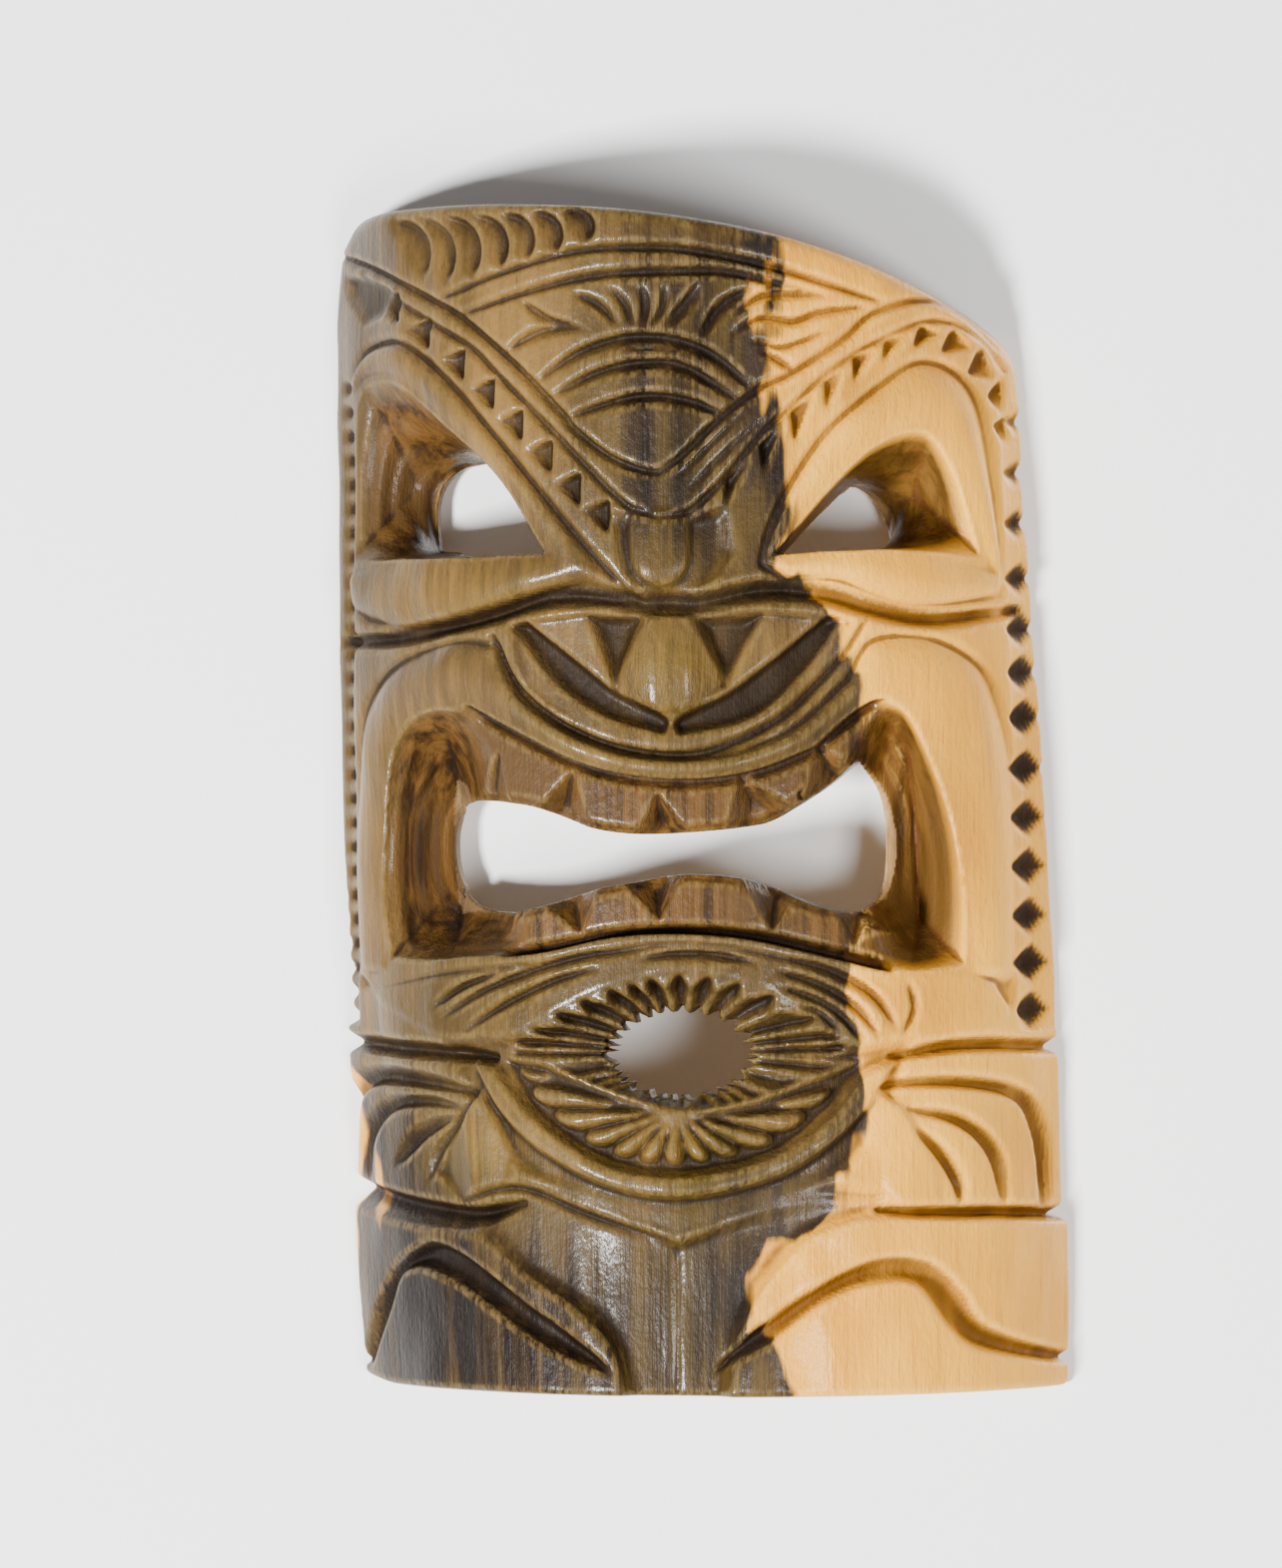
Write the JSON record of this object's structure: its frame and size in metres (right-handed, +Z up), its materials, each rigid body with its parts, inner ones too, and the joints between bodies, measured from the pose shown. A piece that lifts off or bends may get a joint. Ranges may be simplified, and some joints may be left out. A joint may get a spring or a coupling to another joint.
{
  "type": "carved wooden wall mask",
  "caption": "Half-log hardwood wall mask carved with a scowling open-mouthed face, hollow behind, with a D-ring strap hanger let into the back",
  "frame": {"origin": "middle of the sawn bottom, on the surface that the mask stands on", "axes": "+Z up the face, -Y out of the face, +Y towards the wall, +X to the right of a person looking at the face"},
  "size_m": [0.1905, 0.062, 0.3],
  "materials": {
    "carved_wood": "two-tone hardwood, satin lacquer",
    "hanger_steel": "brass-plated steel sheet",
    "ring_steel": "brass-plated steel wire",
    "screw_steel": "bright zinc"
  },
  "bodies": {
    "mask": {"mask_body": "carved_wood", "hanger_strap": "hanger_steel", "hanger_screw_lower": "screw_steel", "hanger_screw_upper": "screw_steel"},
    "ring": {"hanger_ring": "ring_steel"}
  },
  "joints": [
    {"name": "ring_swing", "type": "hinge", "parent": "mask", "child": "ring", "pos_m": [0, 0.02695, 0.268], "axis": [-1, 0, 0], "range_deg": [0, 165]}
  ]
}
